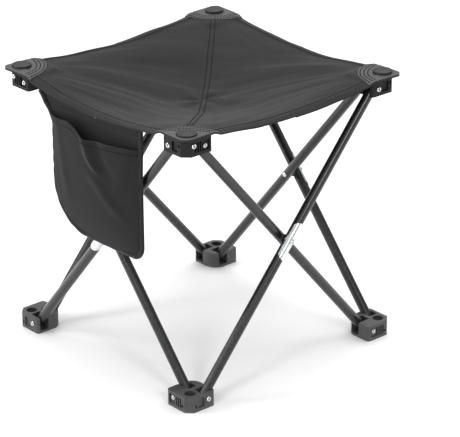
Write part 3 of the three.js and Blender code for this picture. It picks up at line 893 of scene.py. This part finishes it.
def patch_stitches(corner, sign_x, sign_y):
    """A row of stitches in each of the patch's grooves."""
    store = ([], [])
    for depth in PATCH_ROWS:
        turns = np.linspace(0.04, 0.96, 90)
        flats = [patch_flat(sign_x, sign_y, PATCH_REACH - depth, QUARTER * turn) for turn in turns]
        bed = PATCH_THICK - GROOVE + 0.25 * MM
        points = [seat_point(x, y, hem_lift(x, y) + bed) for x, y in flats]
        stitch_row(points, [seat_normal(x, y) for x, y in flats], lambda middle: store)
    make_piece(f"{corner}_patch_stitches", *store, THREAD_AND_PAINTED_SHADE, f"{corner}_hub", "patch_fabric", 80.0)


for corner in CORNERS:
    corner_patch(corner)

# ---------------------------------------------------------------- pocket
pocket_low, pocket_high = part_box("pocket_back_panel")
POCKET_BACK_Y = pocket_low.y
POCKET_LEFT, POCKET_RIGHT = pocket_low.x, pocket_high.x
POCKET_WIDTH = POCKET_RIGHT - POCKET_LEFT
LEFT_RADIUS = 67 * MM
RIGHT_RADIUS = 20 * MM
BOTTOM_RISE = 2 * MM  # how much higher the lower edge is at its right end
POCKET_BOTTOM = pocket_low.z - BOTTOM_RISE * LEFT_RADIUS / POCKET_WIDTH
FLARE = 30 * MM  # how far the back panel runs out towards the left hub
FLARE_FROM, FLARE_TOP = 329 * MM, 364 * MM
RIGHT_FLARE = 2 * MM
MOUTH = 338 * MM
MOUTH_DROOP = 9 * MM
MOUTH_ROLL, ROLL_AT, ROLL_WIDTH = 3.5 * MM, 0.31, 0.09  # height, and place and width as shares
LOW_POINT = 0.5  # where the mouth hangs lowest, from left to right
BULGE = 13 * MM
PANEL = 0.9 * MM
PANEL_GAP = 1.3 * MM
UNDER_HEM = 0.3 * MM
DRIFT = 0.8 * MM
BINDING = 7 * MM
BINDING_FRONT, BINDING_BACK = 2.9 * MM, 1.5 * MM
MOUTH_HEM = 9 * MM
POCKET_GRID = 96  # squares each way over a panel


def pocket_edge(z, side, radius, sign):
    """X of an upright edge at side that turns into the bottom with a round corner."""
    drop = max(0.0, POCKET_BOTTOM + radius - z)
    return side - sign * radius + sign * math.sqrt(max(0.0, radius ** 2 - drop ** 2))


def pocket_left(z):
    """The left edge, which flares out towards the hub at its top."""
    flare = max(0.0, (z - FLARE_FROM) / (FLARE_TOP - FLARE_FROM))
    return pocket_edge(z, POCKET_LEFT, LEFT_RADIUS, -1) - FLARE * flare ** 1.1


def pocket_right(z):
    return pocket_edge(z, POCKET_RIGHT, RIGHT_RADIUS, 1) + RIGHT_FLARE * smooth(z, 300 * MM, 360 * MM)


def slanted(x, z):
    """Height z, lifted so that the lower edge rises to the right and the mouth stays put."""
    across = (x - POCKET_LEFT) / POCKET_WIDTH
    return z + BOTTOM_RISE * across * max(0.0, (MOUTH - z) / (MOUTH - POCKET_BOTTOM))


def hem_height(u):
    """Underside of the front hem, from the pocket's left end (0) to its right end (1)."""
    left, right = POCKET_LEFT - FLARE, POCKET_RIGHT
    return seat_height(left + (right - left) * u, POCKET_BACK_Y - MIDDLE_Y) - CLOTH - UNDER_HEM


def mouth_height(u):
    """Upper edge of the front panel, with a droop in its middle and a small roll left of it."""
    falling = smooth(u, LOW_POINT * 0.55, LOW_POINT) ** 0.8
    rising = min(1.0, (1 - u) / (1 - LOW_POINT))
    return MOUTH + MOUTH_ROLL * bell(u - ROLL_AT, ROLL_WIDTH) - MOUTH_DROOP * min(falling, rising)


def on_panel(u, z, bulge, gap):
    """Point of a pocket panel at a share u of its width and an upright height z."""
    left, right = pocket_left(z), pocket_right(z)
    x = left + (right - left) * u
    drift = DRIFT * noise.noise(Vector((x * 20, z * 15, 8.0))) * math.sin(math.pi * u)
    return Vector((x, POCKET_BACK_Y - gap - bulge(x, z, u) - drift, slanted(x, z)))


def front_bulge(x, z, u):
    """How far the front panel stands out: a full belly, a pull fold below the mouth and softer folds."""
    share = max(0.0, (z - POCKET_BOTTOM) / (MOUTH - POCKET_BOTTOM))
    belly = arch(u, 0.7) * math.sin(min(1.0, share ** 0.7 * 1.35) * QUARTER)
    down = MOUTH - z
    pull_x = -9 * MM + 0.62 * down + 2 * MM * math.sin(down * 160)
    pull = 4.4 * MM * bell(x - pull_x, 9 * MM) * smooth(z, 282 * MM, 300 * MM)
    dent = 2.6 * MM * bell(x - pull_x - 21 * MM, 12 * MM) * smooth(z, 272 * MM, 310 * MM)
    broad_x = 4 * MM + 1.05 * (292 * MM - z)
    below = 1 - smooth(z, 275 * MM, 295 * MM)
    broad = 2.4 * MM * bell(x - broad_x, 14 * MM) * smooth(z, 225 * MM, 250 * MM) * below
    left_x = -62 * MM + 0.25 * (300 * MM - z)
    left = 1.6 * MM * bell(x - left_x, 10 * MM) * smooth(z, 210 * MM, 270 * MM)
    right_x = 62 * MM + 0.4 * (z - 290 * MM)
    right = 1.8 * MM * bell(x - right_x, 12 * MM) * smooth(z, 250 * MM, 300 * MM)
    return BULGE * belly + (pull - dent + broad + left + right) * arch(u, 0.5)


def flat_bulge(x, z, u):
    """The back panel: flat, with a level crease under the hem."""
    crease_z = 346 * MM + 0.05 * (x - POCKET_LEFT)
    return 1.6 * MM * bell(z - crease_z, 4 * MM) * arch(min(1.0, max(0.0, u)), 0.5)


def pocket_sheet(name, top, bulge, gap, node):
    """A pocket panel up to the height top(u), standing out by bulge(x, z, u) and gap."""
    grid = POCKET_GRID
    vertices = []
    for layer in (0.0, PANEL):
        for r in range(grid + 1):
            rise = 1 - math.cos(r / grid * QUARTER)
            for c in range(grid + 1):
                u = c / grid
                z = POCKET_BOTTOM + (top(u) - POCKET_BOTTOM) * rise
                vertices.append(on_panel(u, z, bulge, gap) + Vector((0, layer, 0)))
    faces = sheet_faces(grid, grid)
    piece = make_piece(name, vertices, faces, POCKET_PAINTED_SHADE, "front_left_hub", "pocket_fabric", 60.0)
    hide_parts(node)
    gather(piece)
    return piece


def pocket_panels():
    back = pocket_sheet("pocket_back_cloth", hem_height, flat_bulge, 0.0, "pocket_back_panel")
    front = pocket_sheet("pocket_front_cloth", mouth_height, front_bulge, PANEL_GAP, "pocket_front_panel")
    back_tall = hem_height(0.5) - POCKET_BOTTOM


def pocket_outline():
    """Points down the left edge, along the bottom and up the right edge."""
    points = []
    for z in np.linspace(FLARE_TOP - 3 * MM, POCKET_BOTTOM + LEFT_RADIUS, 44):
        points.append((pocket_left(z), z))
    for turn in np.linspace(0, QUARTER, 30)[1:]:
        x = POCKET_LEFT + LEFT_RADIUS * (1 - math.cos(turn))
        points.append((x, POCKET_BOTTOM + LEFT_RADIUS * (1 - math.sin(turn))))
    for x in np.linspace(POCKET_LEFT + LEFT_RADIUS, POCKET_RIGHT - RIGHT_RADIUS, 30)[1:]:
        points.append((x, POCKET_BOTTOM))
    for turn in np.linspace(0, QUARTER, 14)[1:]:
        x = POCKET_RIGHT - RIGHT_RADIUS * (1 - math.sin(turn))
        points.append((x, POCKET_BOTTOM + RIGHT_RADIUS * (1 - math.cos(turn))))
    for z in np.linspace(POCKET_BOTTOM + RIGHT_RADIUS, hem_height(1.0) - 1 * MM, 40)[1:]:
        points.append((pocket_right(z), z))
    return [(x, slanted(x, z)) for x, z in points]


def binding_section():
    """Section of the tape, as (distance in from the edge, distance back from the pocket's outer face)."""
    front, back, edge = BINDING_FRONT, BINDING_BACK, -0.4 * MM
    return [
        (BINDING, -front + 0.5 * MM), (BINDING - 0.6 * MM, -front), (1.2 * MM, -front),
        (edge, -front + 1.2 * MM), (edge, back - 1.2 * MM), (1.0 * MM, back),
        (BINDING - 0.6 * MM, back), (BINDING, back - 0.5 * MM),
    ]


def pocket_binding(store):
    """Tape folded over the pocket's edge, with one row of stitches."""
    outline, section = pocket_outline(), binding_section()
    sides, last = len(section), len(outline) - 1
    vertices, points, normals = [], [], []
    for i, (x, z) in enumerate(outline):
        before, after = outline[max(0, i - 1)], outline[min(last, i + 1)]
        run = Vector((after[0] - before[0], 0, after[1] - before[1])).normalized()
        inward = Vector((-run.z, 0, run.x))
        pucker = 0.25 * MM * math.sin(i * 0.9) + 0.4 * MM * noise.noise(Vector((i * 0.31, 2.0, 5.0)))
        for depth, y in section:
            vertices.append(Vector((x, POCKET_BACK_Y + y + pucker, z)) + inward * depth)
        row = Vector((x, POCKET_BACK_Y - BINDING_FRONT + pucker, z))
        points.append(row + inward * (BINDING - 1.6 * MM))
        normals.append(OUTWARD["front"])
    faces = ring_faces(len(outline), sides)
    faces.append(tuple(reversed(range(sides))))
    faces.append(tuple(last * sides + side for side in range(sides)))
    gather(make_piece("pocket_binding", vertices, faces, TAPE, "front_left_hub", "pocket_fabric", 60.0))
    stitch_row(points, normals, lambda middle: store)


def mouth_hem(store):
    """Folded band along the mouth, with its row of stitches."""
    columns, rows = POCKET_GRID, 4
    points, normals, vertices = [], [], []
    for outer in (True, False):
        for r in range(rows + 1):
            stands = -(0.5 if r in (0, rows) else 0.8) * MM if outer else PANEL + 0.6 * MM
            drop = MOUTH_HEM * (rows - r) / rows - 0.4 * MM
            for c in range(columns + 1):
                u = 0.03 + 0.94 * c / columns
                point = on_panel(u, mouth_height(u) - drop, front_bulge, PANEL_GAP)
                vertices.append(point + Vector((0, stands, 0)))
                if outer and r == 1:
                    points.append(vertices[-1])
                    normals.append(OUTWARD["front"])
    faces = sheet_faces(rows, columns)
    gather(make_piece("pocket_mouth_hem", vertices, faces, POCKET_PAINTED_SHADE, "front_left_hub", "pocket_fabric", 50.0))
    stitch_row(points, normals, lambda middle: store)


pocket_thread = ([], [])
pocket_panels()
pocket_binding(pocket_thread)
mouth_hem(pocket_thread)
gather(make_piece("pocket_stitches", *pocket_thread, THREAD_AND_PAINTED_SHADE, "front_left_hub", "pocket_fabric", 80.0))


# ---------------------------------------------------------------- camera, lights and floor
FLOOR_HALF = 6.0
LIGHT_TARGET = Vector((0, 0, 0.2))
AZIMUTH, ELEVATION, ROLL = math.radians(49.6), math.radians(23.07), math.radians(-0.37)
DISTANCE = 3.395
LENS, SENSOR = 198.157, 36.0  # millimetres
AIM_RIGHT, AIM_UP = 36.20 * MM, -15.42 * MM  # where it aims, from the stool's middle
MIDDLE_HEIGHT = 0.18


def studio():
    """White world, pale floor, one wide soft sun and three soft boxes."""
    scene = bpy.context.scene
    scene.view_settings.view_transform = "Standard"
    world = bpy.data.worlds.new("studio")
    world.use_nodes = True
    world.node_tree.nodes["Background"].inputs["Color"].default_value = (1, 1, 1, 1)
    world.node_tree.nodes["Background"].inputs["Strength"].default_value = 0.5
    scene.world = world
    half = FLOOR_HALF
    floor = make_stage("floor", [(-half, -half, 0), (half, -half, 0), (half, half, 0), (-half, half, 0)])
    material, tree, shader = new_material("pale_floor")
    cloudy = noise_node(tree, place(tree), 3.0)
    tone = ramp(tree, cloudy, 0.3, 0.7, (0.94, 0.94, 0.94), (0.96, 0.96, 0.96))
    tree.links.new(tone, shader.inputs["Base Color"])
    shader.inputs["Roughness"].default_value = 0.8
    floor.data.materials.append(material)
    sun_light("sky", towards=(-0.5, 0.9, 2.6), spread_degrees=75.0, strength=2.4)
    area_light("left_strip", place_at=(-1.3, -2.0, 1.0), wide=0.45, tall=2.0, power=26)
    area_light("front_box", place_at=(0.9, -2.9, 2.1), wide=0.6, tall=0.6, power=18)
    area_light("right_box", place_at=(2.9, -0.9, 1.9), wide=0.7, tall=0.7, power=24)


def make_stage(name, corners):
    mesh = bpy.data.meshes.new(name)
    mesh.from_pydata(corners, [], [(0, 1, 2, 3)])
    obj = bpy.data.objects.new(name, mesh)
    bpy.context.scene.collection.objects.link(obj)
    return obj


def sun_light(name, towards, spread_degrees, strength):
    light = bpy.data.lights.new(name, "SUN")
    light.angle = math.radians(spread_degrees)
    light.energy = strength
    obj = bpy.data.objects.new(name, light)
    bpy.context.scene.collection.objects.link(obj)
    obj.rotation_mode = "QUATERNION"
    obj.rotation_quaternion = Vector(towards).to_track_quat("Z", "Y")


def area_light(name, place_at, wide, tall, power):
    light = bpy.data.lights.new(name, "AREA")
    light.shape = "RECTANGLE"
    light.size, light.size_y = wide, tall
    light.energy = power
    obj = bpy.data.objects.new(name, light)
    bpy.context.scene.collection.objects.link(obj)
    obj.location = place_at
    aim = LIGHT_TARGET - Vector(place_at)
    obj.rotation_mode = "QUATERNION"
    obj.rotation_quaternion = aim.to_track_quat("-Z", "Y")


def camera():
    """Long lens from beyond the front-right corner, a little above the stool."""
    back = Vector((math.sin(AZIMUTH) * math.cos(ELEVATION), -math.cos(AZIMUTH) * math.cos(ELEVATION),
                   math.sin(ELEVATION)))
    right = Vector((math.cos(AZIMUTH), math.sin(AZIMUTH), 0))
    upward = back.cross(right)
    middle = Vector((0, MIDDLE_Y, MIDDLE_HEIGHT))
    data = bpy.data.cameras.new("camera")
    data.sensor_width = SENSOR
    data.lens = LENS
    data.clip_start, data.clip_end = 0.1, 50.0
    obj = bpy.data.objects.new("camera", data)
    bpy.context.scene.collection.objects.link(obj)
    obj.location = middle + back * DISTANCE
    aim = middle + right * AIM_RIGHT + upward * AIM_UP - obj.location
    level = aim.to_track_quat("-Z", "Y")
    obj.rotation_mode = "QUATERNION"
    obj.rotation_quaternion = level @ Matrix.Rotation(ROLL, 3, "Z").to_quaternion()
    bpy.context.scene.camera = obj


camera()
studio()
